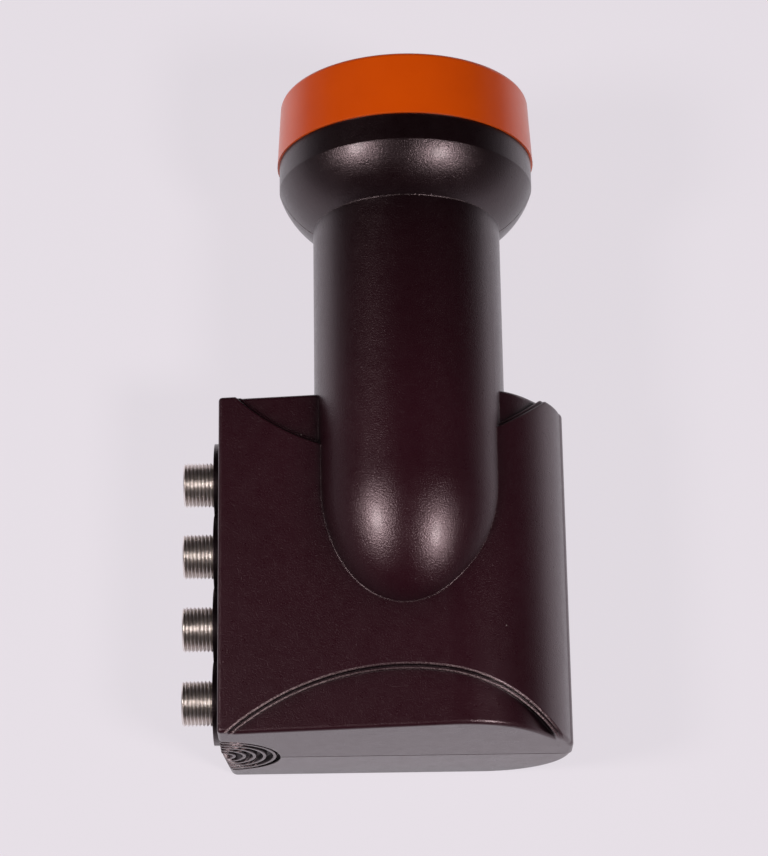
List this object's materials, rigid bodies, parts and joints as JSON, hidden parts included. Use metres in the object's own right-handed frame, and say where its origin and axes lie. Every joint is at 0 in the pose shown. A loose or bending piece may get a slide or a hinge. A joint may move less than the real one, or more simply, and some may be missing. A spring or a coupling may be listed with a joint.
{
  "type": "satellite lnb",
  "caption": "Satellite LNB: round neck with a domed end, flared feed horn under an orange cap, and a split dark plastic housing with threaded coaxial outputs along one side.",
  "frame": {"origin": "on the axis of the round neck, at the middle of the 40 mm collar seat", "axes": "+Y along the neck towards the cap, +Z out of the front face, outputs towards -X; the part lies on its back"},
  "size_m": [0.0807, 0.1419, 0.0598],
  "materials": {
    "shell": "dark brown-black moulded plastic with a fine grain and a soft sheen",
    "cap": "orange moulded plastic, satin",
    "casting": "die cast, bare",
    "barrel": "nickel plated, satin",
    "insulator": "off-white moulded plastic",
    "contact": "turned, lightly plated",
    "rubber": "matt black rubber",
    "steel": "zinc plated",
    "board": "green solder mask",
    "chip": "moulded chip package",
    "ceramic": "fired, unglazed"
  },
  "bodies": {
    "root": {"front_shell": "shell", "rear_shell": "shell", "feed_cap": "cap", "cap_seal": "rubber", "horn_casting": "casting", "casting_cover": "casting", "cover_gasket": "rubber", "cover_screws": "steel", "main_board": "board", "board_screws": "steel", "probe_vertical": "contact", "probe_horizontal": "contact", "probe_vertical_bush": "insulator", "probe_horizontal_bush": "insulator", "isolation_pin": "casting", "resonator_low": "ceramic", "resonator_high": "ceramic", "tuning_screws": "contact", "switch_chip": "chip", "mixer_chips": "chip", "voltage_regulators": "chip", "amplifier_transistors": "chip", "chip_capacitors": "ceramic", "port_1_body": "barrel", "port_1_insulator": "insulator", "port_1_contact": "contact", "port_1_seal": "rubber", "port_2_body": "barrel", "port_2_insulator": "insulator", "port_2_contact": "contact", "port_2_seal": "rubber", "port_3_body": "barrel", "port_3_insulator": "insulator", "port_3_contact": "contact", "port_3_seal": "rubber", "port_4_body": "barrel", "port_4_insulator": "insulator", "port_4_contact": "contact", "port_4_seal": "rubber"}
  },
  "joints": []
}
